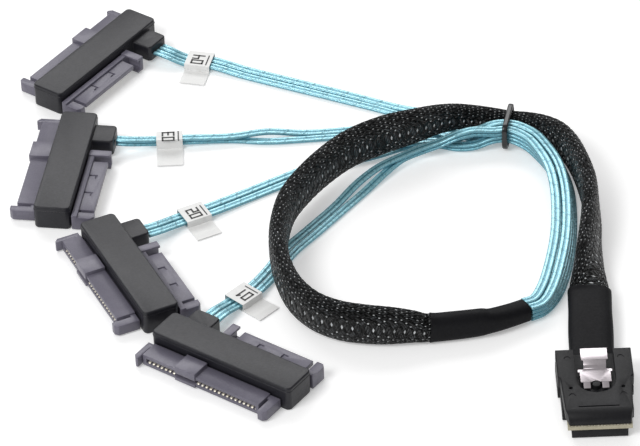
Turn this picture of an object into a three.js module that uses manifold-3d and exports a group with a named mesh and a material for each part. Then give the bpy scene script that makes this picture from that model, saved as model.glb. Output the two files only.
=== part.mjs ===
import * as THREE from 'three';
import { mergeVertices } from 'three/addons/utils/BufferGeometryUtils.js';
import Module from 'manifold-3d';

// A breakout cable: one latched host plug, a braided flat trunk that splits into
// eight flat tapes, and four drive ends that each take two of the tapes.
// Lengths are millimetres and +Z is up. The cable lies on a bench at z = 0.
// Places are bench coordinates, and the finished group is moved by benchOrigin.

const wasm = await Module();
wasm.setup();

// Clearance between pieces that touch, and overlap inside a joined piece
const clearance = 0.3;
const weld = 0.2;
const benchOrigin = [-2.53, 2.71];

// Contacts of a drive end
const contactPitch = 1.27;
const signalContacts = 7;
const powerContacts = 15;
const keyContacts = 7;
const keyPitch = 0.8;
const contactWidth = 0.6;
const contactHeight = 0.25;

// Drive end, moulded block and cable boot
const shellInset = 1.25;
const blockPastShell = 5.5;
const blockDepth = 9.7;
const blockHeight = 6.8;
const blockCorner = 1.3;
const blockEdge = 0.25;
const bootInset = 3.1;
const bootWidth = 7.4;
const bootReach = 5.7;
const bootBase = 0.6;
const bootHeight = 4.6;
const bootCorner = 1.1;

// Drive end, receptacle
const signalMargin = 1.4;
const keyMargin = 0.6;
const powerMargin = 0.2;
const shellBase = 0.4;
const shellHeight = 3.2;
const shellReach = 5.4;
const keyRise = 1.1;
const keyReach = 0.5;
const jawThickness = 0.9;
const slotHeight = 1.3;
const slotDepth = 3.6;
const slotEndWall = 1.0;
const contactSetback = 0.5;
const earReach = 7.0;
const earHeight = 2.8;
const earChamfer = 0.9;
const signalEarWidth = 1.5;
const signalEarGap = 0.4;
const powerEarWidth = 2.3;
const powerEarGap = 0.75;
const flangeThickness = 1.4;
const rootDepth = 2.0;
const rootInset = 1.2;
const rootRise = 0.8;
const rootHeight = 1.8;

// Drive end, power plug on the back
const tongueMargin = 1.95;
const tongueReach = 5.7;
const tongueBase = 2.7;
const tongueThickness = 1.3;
const bladeWidth = 0.75;
const bladeHeight = 0.2;
const bladeLength = 3.4;
const plugBase = 0.6;
const plugHeight = 4.0;
const plugWall = 1.5;
const bracketGap = 2.75;
const bracketThickness = 1.1;
const bracketReach = 6.0;
const bracketHeight = 4.3;
const lipWidth = 1.2;
const lipThickness = 0.7;
const footGap = 1.0;
const footWidth = 2.6;
const footReach = 6.1;
const footBase = 0.3;
const footHeight = 3.7;
const keyGrooves = [5.8, 13.2];
const grooveWidth = 0.5;
const grooveDepth = 0.4;
const grooveReach = 2.2;
const grooveTurn = 1.6;

// Host plug shells, with y = 0 at the rear and the mating end at -hostLength
const hostLength = 26.0;
const hostWidth = 18.8;
const hostRearLength = 10.6;
const hostNeckWidth = 17.6;
const hostFrontWidth = 15.0;
const hostEdge = 0.25;
const lowerHeight = 3.2;
const upperHeight = 3.4;
const chinWidth = 13.8;
const chinStep = 19.2;
const lipStart = 23.0;
const lipDrop = 2.2;
const recessRadius = 4.95;
const recessCentre = 12.0;
const recessDepth = 1.9;
const bossRadius = 1.0;
const bossCentre = 12.9;
const bossHeight = 1.2;
const pinHole = 0.5;
const pinHoleSide = 6.45;
const pinHoleBack = 15.0;
const frontGroove = 22.2;
const frontGrooveLength = 10.0;
const mouthDepth = 1.6;

// Paddle card between the shells
const cardWidth = 15.9;
const cardThickness = 1.0;
const cardStart = 13.5;
const cardPastFront = 0.3;

// Spring latch, one piece of bent sheet
const sheet = 0.4;
const tabWidth = 6.6;
const tabStart = 1.4;
const tabEnd = 5.6;
const tabLift = 2.7;
const neckWidth = 5.6;
const neckEnd = 7.3;
const plateWidth = 7.6;
const plateEnd = 12.1;
const plateLift = 0.8;
const shoulderWidth = 8.5;
const shoulderLength = 1.0;
const footEnd = 13.9;
const latchFootWidth = 1.7;
const latchFootSide = 2.3;

// Flat trunk and tapes
const sleeveSteps = 56;
const shrinkSteps = 10;
const tapeWidth = 2.5;
const tapeThickness = 0.9;
const tapeChamfer = 0.28;
const tapeGapSide = 0.3;
const tapeGapUp = 0.25;
const tapeSteps = 42;
const tieWall = 0.9;
const tieWidth = 2.2;
const tieBase = 0.1;
const tieBevel = 0.3;
const tieCorners = [1.8, 1.3, 1.3, 1.0];
const labelLength = 7.0;
const labelReach = 9.2;
const labelSheet = 0.35;
const bootRun = 3.5;

// Where the ends lie: x, y and the turn of the block about +Z in degrees.
// Each label wraps its pair of tapes between two points of the branch.
const hostPlace = [66.4, -64.0];
const drives = [
  {
    name: '1', place: [-23.5, -59.08], turn: -36.57, column: -1, rows: [2, 3], labelSpan: 11,
    route: [
      [41.5, 29.1, 6.0, 90], [37.2, 28.4, 5.4, 90], [32.2, 27.8, 3.5, 90], [27.2, 26.4, 2.6, 90],
      [22.3, 23.8, 2.3, 90], [17.0, 19.6, 1.8, 60], [11.6, 13.6, 1.2, 45], [5.4, 5.6, 0.6, 0],
      [-2.2, -4.3, 0.6, 0], [-8.2, -12.0, 0.6, 0], [-13.4, -21.4, 0.6, 0],
      [-17.65, -28.25, 1.15, 0], [-22.75, -33.35, 1.15, 0],
    ],
  },
  {
    name: '2', place: [-49.31, -22.02], turn: -66.26, column: -1, rows: [0, 1], labelSpan: 10,
    route: [
      [41.5, 28.9, 1.6, 90], [37.0, 29.3, 1.2, 90], [33.6, 30.5, 1.2, 90], [29.4, 31.4, 1.2, 90],
      [23.4, 30.6, 1.2, 90], [15.3, 28.7, 1.2, 45], [7.3, 26.0, 0.6, 0], [-2.1, 21.9, 0.6, 0],
      [-9.0, 18.0, 0.6, 0], [-19.4, 11.9, 0.6, 0], [-29.4, 5.6, 1.15, 0], [-35.9, 2.5, 1.15, 0],
    ],
  },
  {
    name: '3', place: [-66.25, 23.02], turn: -99.34, column: 1, rows: [2, 3], labelSpan: 10,
    route: [
      [43.4, 31.9, 4.3, 90], [40.4, 31.4, 3.6, 90], [37.0, 32.2, 2.0, 90], [34.2, 33.8, 1.3, 90],
      [29.0, 36.2, 1.2, 90], [19.0, 37.7, 1.2, 45], [9.0, 37.9, 0.6, 0], [-3.0, 37.3, 0.6, 0],
      [-13.0, 37.0, 1.2, 45], [-23.0, 36.9, 1.2, 90], [-35.7, 36.3, 1.75, 90], [-42.7, 36.2, 1.75, 90],
    ],
  },
  {
    name: '4', place: [-59.42, 71.64], turn: -126.91, column: 1, rows: [0, 1], labelSpan: 9,
    route: [
      [43.4, 32.1, 1.8, 90], [41.2, 33.0, 1.2, 90], [38.9, 35.1, 1.2, 90], [34.5, 38.9, 1.2, 90],
      [28.6, 42.8, 1.2, 45], [21.3, 47.4, 0.6, 0], [6.7, 54.8, 0.6, 0], [-8.5, 62.2, 0.6, 0],
      [-18.8, 67.3, 0.6, 0], [-27.7, 71.6, 1.15, 0], [-34.5, 73.3, 1.15, 0],
    ],
  },
];

// Routes by hand: x, y, z, lean of the flat section in degrees, width, thickness.
// The bundle of tapes has x, y, z and the sideways step from each row to the next.
const hostShrinkRoute = [
  [66.4, -65.3, 2.5, 0, 11.2, 3.6],
  [66.4, -61.6, 2.5, 0, 11.4, 4.1],
  [66.9, -50.0, 2.8, 0, 11.4, 4.8],
  [67.5, -38.5, 2.9, 0, 11.2, 4.9],
];
const sleeveRoute = [
  [67.5, -38.0, 2.9, 0, 10.8, 4.8],
  [67.6, -35.4, 3.1, 12, 10.4, 4.8],
  [67.9, -32.2, 3.9, 32, 9.9, 4.8],
  [68.3, -27.6, 4.7, 52, 9.8, 4.7],
  [69.2, -17.6, 5.5, 72, 10.6, 4.6],
  [70.1, -8.4, 5.9, 80, 11.4, 4.6],
  [70.1, 1.8, 6.1, 90, 11.8, 4.6],
  [68.8, 11.4, 6.0, 90, 11.4, 4.6],
  [66.8, 19.5, 5.7, 90, 10.8, 4.6],
  [64.0, 26.1, 5.3, 88, 9.8, 4.6],
  [60.6, 30.8, 4.9, 84, 8.0, 4.4],
  [56.4, 34.0, 4.4, 84, 6.6, 4.2],
  [51.5, 35.7, 4.2, 84, 6.0, 4.1],
  [46.4, 36.2, 4.9, 84, 6.4, 4.2],
  [41.8, 35.8, 5.9, 86, 6.8, 4.3],
  [38.0, 34.9, 6.8, 88, 7.4, 4.4],
  [32.6, 32.0, 8.4, 90, 8.6, 4.6],
  [26.1, 28.4, 9.3, 90, 10.4, 4.8],
  [18.1, 25.0, 9.4, 90, 11.6, 5.0],
  [8.6, 19.8, 9.0, 90, 11.8, 5.0],
  [1.9, 13.5, 8.6, 90, 11.8, 5.0],
  [-3.6, 6.0, 8.4, 90, 11.8, 5.0],
  [-8.2, -2.6, 8.1, 90, 11.8, 5.0],
  [-10.3, -11.2, 7.8, 90, 11.8, 5.0],
  [-10.9, -19.6, 7.6, 90, 11.8, 5.0],
  [-9.8, -28.8, 7.0, 90, 11.8, 5.0],
  [-6.8, -37.4, 6.3, 90, 11.8, 5.0],
  [-1.9, -44.2, 6.1, 90, 11.8, 5.0],
  [4.0, -48.1, 6.1, 90, 11.8, 5.0],
  [10.3, -49.9, 6.1, 90, 11.6, 5.0],
  [16.3, -50.5, 5.8, 90, 11.0, 5.0],
  [21.6, -50.3, 5.0, 90, 9.4, 4.9],
  [25.0, -50.05, 4.2, 90, 8.0, 4.8],
  [27.6, -49.8, 4.05, 90, 7.7, 4.8],
];
const splitShrinkRoute = [
  [28.05, -49.75, 4.03, 90, 7.9, 5.0],
  [34.1, -49.2, 3.95, 90, 7.8, 5.0],
  [39.6, -48.2, 3.9, 90, 7.4, 5.0],
  [41.6, -47.8, 3.8, 90, 6.4, 5.0],
  [46.4, -45.6, 3.3, 90, 5.7, 5.4],
  [50.9, -43.1, 3.0, 90, 5.2, 5.8],
];
const bundleRoute = [
  [51.26, -42.9, 2.95, 0], [54.2, -41.1, 2.7, 0], [57.2, -36.0, 2.5, 0.3], [60.0, -27.0, 2.5, 0.5],
  [62.4, -14.4, 2.5, 0.5], [63.5, -1.8, 2.5, 0.5], [63.5, 8.4, 2.6, 0.5], [62.3, 16.4, 2.8, 0.4],
  [59.8, 22.4, 3.3, 0.2], [56.4, 27.4, 4.0, 0], [51.3, 30.6, 4.5, 0], [46.8, 30.8, 4.3, 0],
];
const sleeveTiePoint = 12;
const bundleTiePoint = 10;

// Finishes
const finish = (colour, roughness, metalness = 0) =>
  new THREE.MeshStandardMaterial({ color: colour, roughness, metalness });
const mouldedBlack = finish(0x3a3a3e, 0.55);
const insulatorGrey = finish(0x77757f, 0.5);
const hostBlack = finish(0x3c3b40, 0.5);
const cardGreen = finish(0xa8a294, 0.6);
const latchSteel = finish(0xc9c0c4, 0.3, 1);
const shrinkBlack = finish(0x1c1c1e, 0.7);
const braidBlack = finish(0x1a1a1c, 0.8);
const tapeBlue = finish(0x7fc8dc, 0.35);
const labelWhite = finish(0xececec, 0.7);
const tieBlack = finish(0x151518, 0.35);

// Sizes that follow from the driving dimensions
const signalSection = signalContacts * contactPitch + signalMargin;
const keySection = keyContacts * keyPitch + keyMargin;
const powerSection = powerContacts * contactPitch + powerMargin;
const shellLength = signalSection + keySection + powerSection;
const blockLength = shellInset + shellLength + blockPastShell;
const blockStart = -blockLength / 2;
const blockEnd = blockLength / 2;
const blockFace = blockDepth / 2;
const shellStart = blockStart + shellInset;
const shellEnd = shellStart + shellLength;
const shellTop = shellBase + shellHeight;
const bootCentre = blockStart + bootInset + bootWidth / 2;
const footStart = blockEnd - footWidth;
const tongueEnd = footStart - footGap;
const tongueLength = powerContacts * contactPitch + tongueMargin;
const tongueStart = tongueEnd - tongueLength;
const bracketInner = tongueStart - bracketGap;
const bracketOuter = bracketInner - bracketThickness;
const seatFace = blockFace + clearance;
const upperBase = lowerHeight + clearance;
const hostTop = upperBase + upperHeight;
const recessFloor = hostTop - recessDepth;
const tapePitchSide = tapeWidth + tapeGapSide;
const tapePitchUp = tapeThickness + tapeGapUp;

// A geometry as a solid for cutting and joining
function toSolid(geometry) {
  const bare = geometry.clone();
  bare.deleteAttribute('normal');
  bare.deleteAttribute('uv');
  const merged = mergeVertices(bare, 1e-5);
  return new wasm.Manifold(new wasm.Mesh({
    numProp: 3,
    vertProperties: new Float32Array(merged.attributes.position.array),
    triVerts: new Uint32Array(merged.index.array),
  }));
}

// A solid as a geometry for a mesh
function toGeometry(solid) {
  const mesh = solid.getMesh();
  const geometry = new THREE.BufferGeometry();
  geometry.setAttribute('position', new THREE.BufferAttribute(mesh.vertProperties, 3));
  geometry.setIndex(new THREE.BufferAttribute(mesh.triVerts, 1));
  geometry.computeVertexNormals();
  return geometry;
}

function join(...solids) {
  return solids.reduce((whole, solid) => whole.add(solid));
}

function cut(solid, ...tools) {
  return tools.reduce((rest, tool) => rest.subtract(tool), solid);
}

// A box between two corners
function box(x0, x1, y0, y1, z0, z1) {
  const geometry = new THREE.BoxGeometry(x1 - x0, y1 - y0, z1 - z0);
  geometry.translate((x0 + x1) / 2, (y0 + y1) / 2, (z0 + z1) / 2);
  return toSolid(geometry);
}

// An upright post
function post(radius, x, y, z0, z1, sides = 12) {
  const geometry = new THREE.CylinderGeometry(radius, radius, z1 - z0, sides);
  geometry.rotateX(Math.PI / 2);
  geometry.translate(x, y, (z0 + z1) / 2);
  return toSolid(geometry);
}

// A rectangle with round corners about the origin
function roundedRectangle(width, depth, radius) {
  const x = width / 2 - radius;
  const y = depth / 2 - radius;
  const shape = new THREE.Shape();
  shape.absarc(x, y, radius, 0, Math.PI / 2);
  shape.absarc(-x, y, radius, Math.PI / 2, Math.PI);
  shape.absarc(-x, -y, radius, Math.PI, 1.5 * Math.PI);
  shape.absarc(x, -y, radius, 1.5 * Math.PI, 2 * Math.PI);
  shape.closePath();
  return shape;
}

function polygon(points) {
  return new THREE.Shape(points.map(([x, y]) => new THREE.Vector2(x, y)));
}

// A plate with its outline seen from above, its edges broken by a small bevel
function slab(shape, z0, z1, edge = 0, curveSegments = 4) {
  const geometry = new THREE.ExtrudeGeometry(shape, {
    depth: z1 - z0 - 2 * edge,
    bevelEnabled: edge > 0,
    bevelThickness: edge,
    bevelSize: edge,
    bevelOffset: -edge,
    bevelSegments: 1,
    curveSegments,
  });
  geometry.translate(0, 0, z0 + edge);
  return toSolid(geometry);
}

// A prism along x whose outline is given as points of y and z
function lengthwise(points, x0, x1) {
  const geometry = new THREE.ExtrudeGeometry(polygon(points), { depth: x1 - x0, bevelEnabled: false });
  const turn = new THREE.Matrix4().makeBasis(
    new THREE.Vector3(0, 1, 0), new THREE.Vector3(0, 0, 1), new THREE.Vector3(1, 0, 0));
  geometry.applyMatrix4(turn);
  geometry.translate(x0, 0, 0);
  return toSolid(geometry);
}

// A route for a flat section. A second curve on the same parameter carries the
// lean, width and thickness, so the section keeps its chosen roll in every bend.
class FlatRoute extends THREE.CatmullRomCurve3 {
  constructor(rows) {
    super(rows.map(([x, y, z]) => new THREE.Vector3(x, y, z)));
    this.sections = new THREE.CatmullRomCurve3(
      rows.map(([, , , lean, width, thickness]) => new THREE.Vector3(lean, width, thickness)));
  }

  computeFrenetFrames(steps) {
    const frames = { tangents: [], normals: [], binormals: [] };
    const up = new THREE.Vector3(0, 0, 1);
    for (let i = 0; i <= steps; i += 1) {
      const tangent = this.getTangentAt(i / steps);
      const section = this.sections.getPoint(this.getUtoTmapping(i / steps));
      const lean = THREE.MathUtils.degToRad(section.x);
      const side = new THREE.Vector3().crossVectors(tangent, up).normalize();
      const wide = side.clone().applyAxisAngle(tangent, lean);
      const thin = new THREE.Vector3().crossVectors(tangent, wide);
      frames.tangents.push(tangent);
      frames.normals.push(wide.multiplyScalar(section.y));
      frames.binormals.push(thin.multiplyScalar(section.z));
    }
    return frames;
  }
}

// A flat oval of unit width and thickness, whose round ends are `end` of the width
function ovalSection(end, sidesPerEnd) {
  const points = [];
  for (const half of [1, -1]) {
    for (let i = 0; i <= sidesPerEnd; i += 1) {
      const angle = (i / sidesPerEnd - 0.5) * Math.PI;
      points.push([half * (0.5 - end + end * Math.cos(angle)), half * 0.5 * Math.sin(angle)]);
    }
  }
  return polygon(points);
}

// A tape's section of unit width and thickness, with its four edges broken
function tapeSection() {
  const cx = tapeChamfer / tapeWidth;
  const cy = tapeChamfer / tapeThickness;
  return polygon([
    [0.5, -0.5 + cy], [0.5, 0.5 - cy], [0.5 - cx, 0.5], [-0.5 + cx, 0.5],
    [-0.5, 0.5 - cy], [-0.5, -0.5 + cy], [-0.5 + cx, -0.5], [0.5 - cx, -0.5],
  ]);
}

function tube(rows, section, steps) {
  const geometry = new THREE.ExtrudeGeometry(section, { steps, extrudePath: new FlatRoute(rows) });
  return toGeometry(toSolid(geometry));
}

// Root of a piece that plugs into the block, or the pocket for it when grown
function receptacleRoot(grow) {
  return box(
    shellStart + rootInset - grow, shellEnd - rootInset + grow,
    -blockFace - clearance - weld, -blockFace + rootDepth + grow,
    shellBase + rootRise - grow, shellBase + rootRise + rootHeight + grow);
}

function plugRoot(grow) {
  return box(
    bracketInner + rootInset - grow, footStart + grow,
    blockFace - rootDepth - grow, seatFace + weld,
    plugBase + rootRise - grow, plugBase + rootRise + rootHeight + grow);
}

function driveBlock() {
  const block = slab(roundedRectangle(blockLength, blockDepth, blockCorner), 0, blockHeight, blockEdge);
  const bootDepth = bootReach + blockCorner;
  const boot = slab(
    roundedRectangle(bootWidth, bootDepth, bootCorner), bootBase, bootBase + bootHeight, blockEdge,
  ).translate([bootCentre, blockFace + bootReach - bootDepth / 2, 0]);
  return cut(join(block, boot), receptacleRoot(clearance), plugRoot(clearance));
}

// One guide ear, with its outer corner cut back at the tip
function ear(x0, x1, outward) {
  const tip = -blockFace - earReach;
  const root = -seatFace;
  const outer = outward < 0 ? x0 : x1;
  const inner = outward < 0 ? x1 : x0;
  const outline = [
    [outer, root], [outer, tip + earChamfer], [outer - outward * earChamfer, tip],
    [inner, tip], [inner, root],
  ];
  return slab(polygon(outward < 0 ? outline : outline.reverse()), shellBase, shellBase + earHeight);
}

function driveReceptacle() {
  const front = -blockFace - shellReach;
  const keyStart = shellStart + signalSection;
  const keyEnd = keyStart + keySection;
  const slotFloor = shellBase + jawThickness;
  const slotTop = slotFloor + slotHeight;
  const slotBack = front + slotDepth;
  const earLeft = shellStart - signalEarGap - signalEarWidth;
  const earRight = shellEnd + powerEarGap + powerEarWidth;
  const shell = join(
    box(shellStart, shellEnd, front, -seatFace, shellBase, shellTop),
    box(keyStart, keyEnd, front - keyReach, -seatFace, shellBase, shellTop + keyRise),
    box(earLeft, earRight, -seatFace - flangeThickness, -seatFace, shellBase, shellBase + earHeight),
    ear(earLeft, earLeft + signalEarWidth, -1),
    ear(earRight - powerEarWidth, earRight, 1),
    receptacleRoot(0));
  const slot = box(
    shellStart + slotEndWall, shellEnd - slotEndWall, front - keyReach - weld, slotBack, slotFloor, slotTop);
  let body = cut(shell, slot);
  const addContact = (centre, z0, z1) => {
    const half = contactWidth / 2;
    body = body.add(box(centre - half, centre + half, front + contactSetback, slotBack + weld, z0, z1));
  };
  const floorRow = (count, from, to) => {
    for (let i = 0; i < count; i += 1) {
      const centre = (from + to) / 2 + (i - (count - 1) / 2) * contactPitch;
      addContact(centre, slotFloor - weld, slotFloor + contactHeight);
    }
  };
  floorRow(signalContacts, shellStart + slotEndWall, keyStart);
  floorRow(powerContacts, keyEnd, shellEnd - slotEndWall / 2);
  for (let i = 0; i < keyContacts; i += 1) {
    const centre = (keyStart + keyEnd) / 2 + (i - (keyContacts - 1) / 2) * keyPitch;
    const half = Math.min(contactWidth, keyPitch * 0.55) / 2;
    body = body.add(box(
      centre - half, centre + half, front + contactSetback, slotBack + weld,
      slotTop - contactHeight, slotTop + weld));
  }
  return body;
}

function drivePowerPlug() {
  const tongueTop = tongueBase + tongueThickness;
  const tip = blockFace + tongueReach;
  const wallEnd = seatFace + plugWall;
  const bracketTop = plugBase + bracketHeight;
  const bracketTip = blockFace + bracketReach;
  const footTip = blockFace + footReach;
  const outline = [
    [footStart, seatFace], [blockEnd, seatFace], [blockEnd, footTip - earChamfer],
    [blockEnd - earChamfer, footTip], [footStart, footTip],
  ];
  let body = join(
    box(bracketOuter, blockEnd, seatFace, wallEnd, plugBase, plugBase + plugHeight),
    box(tongueStart, tongueEnd, seatFace, tip, tongueBase, tongueTop),
    box(bracketOuter, bracketInner, seatFace, bracketTip, plugBase, bracketTop),
    box(bracketOuter, bracketInner + lipWidth, seatFace, bracketTip, bracketTop - lipThickness, bracketTop),
    box(bracketOuter, bracketInner + lipWidth, seatFace, bracketTip, plugBase, plugBase + lipThickness),
    slab(polygon(outline), footBase, footBase + footHeight),
    plugRoot(0));
  for (const along of keyGrooves) {
    const x = tongueStart + along;
    const low = tongueTop - grooveDepth;
    const bend = wallEnd + grooveReach;
    body = cut(body,
      box(x, x + grooveWidth, wallEnd, bend, low, tongueTop + weld),
      box(x, x + grooveTurn, bend - grooveWidth, bend, low, tongueTop + weld));
  }
  const middle = (tongueStart + tongueEnd) / 2;
  for (let i = 0; i < powerContacts; i += 1) {
    const x = middle + (i - (powerContacts - 1) / 2) * contactPitch - bladeWidth / 2;
    body = body.add(box(
      x, x + bladeWidth, wallEnd - weld, wallEnd + bladeLength, tongueBase - bladeHeight, tongueBase + weld));
  }
  return body;
}

// Oval mouth at the rear of the host plug, shared by both shells
function hostMouth() {
  const [, , z, , width, thickness] = hostShrinkRoute[0];
  const mouthWidth = width + 2 * clearance;
  const mouthHeight = thickness + 2 * clearance;
  const radius = mouthHeight / 2 - 0.01;
  const geometry = new THREE.ExtrudeGeometry(roundedRectangle(mouthWidth, mouthHeight, radius), {
    depth: mouthDepth + weld, bevelEnabled: false, curveSegments: 4,
  });
  geometry.rotateX(Math.PI / 2);
  geometry.translate(0, weld, z);
  return toSolid(geometry);
}

// Pocket that both shells leave for the paddle card
function cardPocket() {
  const half = cardWidth / 2 + clearance;
  const middle = lowerHeight + clearance / 2;
  const rise = cardThickness / 2 + clearance;
  return box(-half, half, -hostLength - 1, -cardStart + clearance, middle - rise, middle + rise);
}

function hostLowerShell() {
  const rear = hostWidth / 2;
  const neck = hostNeckWidth / 2;
  const chin = chinWidth / 2;
  const outline = polygon([
    [rear, 0], [-rear, 0], [-rear, -hostRearLength], [-neck, -hostRearLength], [-neck, -chinStep],
    [-chin, -chinStep], [-chin, -hostLength], [chin, -hostLength], [chin, -chinStep],
    [neck, -chinStep], [neck, -hostRearLength], [rear, -hostRearLength],
  ]);
  return cut(slab(outline, 0, lowerHeight, hostEdge), hostMouth(), cardPocket());
}

function hostUpperShell() {
  const rear = hostWidth / 2;
  const neck = hostNeckWidth / 2;
  const front = hostFrontWidth / 2;
  const outline = polygon([
    [rear, 0], [-rear, 0], [-rear, -hostRearLength], [-neck, -hostRearLength - 0.5],
    [-neck + 0.5, -lipStart], [-front, -hostLength], [front, -hostLength], [neck - 0.5, -lipStart],
    [neck, -hostRearLength - 0.5], [rear, -hostRearLength],
  ]);
  const profile = [[0, upperBase], [-hostLength, upperBase], [-hostLength, hostTop - lipDrop]];
  const lipSegments = 4;
  for (let i = 1; i <= lipSegments; i += 1) {
    const angle = (i / lipSegments) * Math.PI / 2;
    profile.push([
      -lipStart - (hostLength - lipStart) * Math.cos(angle),
      hostTop - lipDrop + lipDrop * Math.sin(angle),
    ]);
  }
  profile.push([0, hostTop]);
  const body = slab(outline, upperBase, hostTop, hostEdge)
    .intersect(lengthwise(profile.reverse(), -hostWidth, hostWidth));
  const high = hostTop + 1;
  const recess = join(
    box(-recessRadius, recessRadius, -recessCentre, 1, recessFloor, high),
    post(recessRadius, 0, -recessCentre, recessFloor, high, 24));
  const half = frontGrooveLength / 2;
  const groove = box(-half, half, -frontGroove - 0.2, -frontGroove + 0.2, hostTop - 0.35, high);
  const holes = [-1, 1].map((side) => post(pinHole, side * pinHoleSide, -pinHoleBack, hostTop - 1, high, 8));
  const open = cut(body, recess, groove, ...holes, cardPocket(), hostMouth());
  return open.add(post(bossRadius, 0, -bossCentre, recessFloor - weld, recessFloor + bossHeight));
}

function paddleCard() {
  const half = cardWidth / 2;
  const middle = lowerHeight + clearance / 2;
  return box(-half, half, -hostLength - cardPastFront, -cardStart,
    middle - cardThickness / 2, middle + cardThickness / 2);
}

// The latch in side view is a strip of sheet: tab, bend, plate and two feet.
// Each stretch of the strip is cut to its own width.
function hostLatch() {
  const tabTop = recessFloor + tabLift + sheet;
  const plateTop = recessFloor + plateLift + sheet;
  const footTop = recessFloor + clearance + sheet;
  const strip = (points, x0, x1) => {
    const upper = points.map(([back, top]) => [-back, top]);
    const lower = points.map(([back, top]) => [-back, top - sheet]).reverse();
    return lengthwise([...lower, ...upper], x0, x1);
  };
  const centred = (points, width) => strip(points, -width / 2, width / 2);
  const middle = (tabTop + plateTop) / 2;
  const tab = centred([[tabEnd, tabTop - 0.2], [tabStart, tabTop]], tabWidth);
  const neck = centred([
    [neckEnd + weld, plateTop], [neckEnd - 0.2, plateTop + 0.2], [(tabEnd + neckEnd) / 2 + 0.3, middle],
    [tabEnd + 0.3, tabTop - 0.4], [tabEnd - weld, tabTop - 0.19],
  ], neckWidth);
  const plate = centred([[plateEnd, plateTop], [neckEnd, plateTop]], plateWidth);
  const shoulders = centred([[neckEnd + shoulderLength, plateTop], [neckEnd, plateTop]], shoulderWidth);
  const feet = [-1, 1].map((side) => strip(
    [[footEnd, footTop], [plateEnd - weld, plateTop]],
    side * latchFootSide - latchFootWidth / 2, side * latchFootSide + latchFootWidth / 2));
  const notch = post(bossRadius + clearance, 0, -bossCentre, recessFloor, hostTop);
  return cut(join(tab, neck, plate, shoulders, ...feet), notch);
}

// Level right-hand side of a route at one of its points
function sideAt(points, index) {
  const before = points[Math.max(index - 1, 0)];
  const after = points[Math.min(index + 1, points.length - 1)];
  const run = new THREE.Vector2(after[0] - before[0], after[1] - before[1]).normalize();
  return [run.y, -run.x];
}

// Where the tapes enter a boot, and the way out of it
function bootExit(drive) {
  const turn = THREE.MathUtils.degToRad(drive.turn);
  const [x, y] = drive.place;
  const along = [Math.cos(turn), Math.sin(turn)];
  const out = [-Math.sin(turn), Math.cos(turn)];
  const reach = blockFace + bootReach;
  const at = (distance) => [
    x + along[0] * bootCentre + out[0] * (reach + distance),
    y + along[1] * bootCentre + out[1] * (reach + distance),
    bootBase + bootHeight / 2,
  ];
  return [at(bootRun), at(clearance)];
}

// Centre line of one tape: its place in the bundle, then its side of the pair.
// A pair's angle is 90 with one tape on the other and 0 with the two side by side.
// Down to 45 the upper tape slides off the lower one, and below 45 it comes down.
function tapeRows(drive, which) {
  const rows = [];
  bundleRoute.forEach(([x, y, z, step], i) => {
    const [sx, sy] = sideAt(bundleRoute, i);
    const row = drive.rows[which] - 1.5;
    const aside = drive.column * tapePitchSide / 2 - row * step;
    const rise = row * tapePitchUp;
    rows.push([x + sx * aside, y + sy * aside, z + rise]);
  });
  const last = drive.route[drive.route.length - 1];
  const exit = bootExit(drive).map((point) => [...point, last[3]]);
  const centres = [...drive.route, ...exit];
  centres.forEach(([x, y, z, angle], i) => {
    const [sx, sy] = sideAt(centres, i);
    const half = which - 0.5;
    const aside = drive.column * half * tapePitchSide * Math.min((90 - angle) / 45, 1);
    const rise = half * tapePitchUp * Math.min(angle / 45, 1);
    rows.push([x + sx * aside, y + sy * aside, z + rise]);
  });
  return rows.map((row) => [...row, 0, tapeWidth, tapeThickness]);
}

// A flag label: a band round the pair of tapes and a tail that lies beside it
function flagLabel(drive) {
  const from = drive.route[drive.labelSpan];
  const to = drive.route[drive.labelSpan + 1];
  const stacked = from[3] > 45;
  const halfWide = (stacked ? tapeWidth : tapeWidth + tapePitchSide) / 2 + clearance;
  const halfHigh = (stacked ? tapeThickness + tapePitchUp : tapeThickness) / 2 + clearance;
  const outerWide = halfWide + labelSheet;
  const outerHigh = halfHigh + labelSheet;
  const shape = polygon([
    [-outerWide, -outerHigh], [labelReach, -outerHigh], [labelReach, -outerHigh + labelSheet],
    [outerWide, -outerHigh + labelSheet], [outerWide, outerHigh], [-outerWide, outerHigh],
  ]);
  shape.holes.push(polygon([
    [-halfWide, -halfHigh], [-halfWide, halfHigh], [halfWide, halfHigh], [halfWide, -halfHigh],
  ]));
  const geometry = new THREE.ExtrudeGeometry(shape, { depth: labelLength, bevelEnabled: false });
  geometry.translate(0, 0, -labelLength / 2);
  const run = new THREE.Vector3(to[0] - from[0], to[1] - from[1], 0).normalize();
  const up = new THREE.Vector3(0, 0, 1);
  const left = new THREE.Vector3().crossVectors(up, run);
  geometry.applyMatrix4(new THREE.Matrix4().makeBasis(left, up, run));
  geometry.translate((from[0] + to[0]) / 2, (from[1] + to[1]) / 2, (from[2] + to[2]) / 2);
  return toGeometry(toSolid(geometry));
}

// A rectangle between two corners, with a radius for each of its round corners
function boxOutline(x0, x1, y0, y1, radii) {
  const corners = [[x0, y0, 1, 1], [x1, y0, -1, 1], [x1, y1, -1, -1], [x0, y1, 1, -1]];
  const shape = new THREE.Shape();
  corners.forEach(([x, y, inX, inY], i) => {
    const radius = radii[i];
    const start = Math.PI * (1 + i / 2);
    shape.absarc(x + inX * radius, y + inY * radius, radius, start, start + Math.PI / 2);
  });
  shape.closePath();
  return shape;
}

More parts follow.
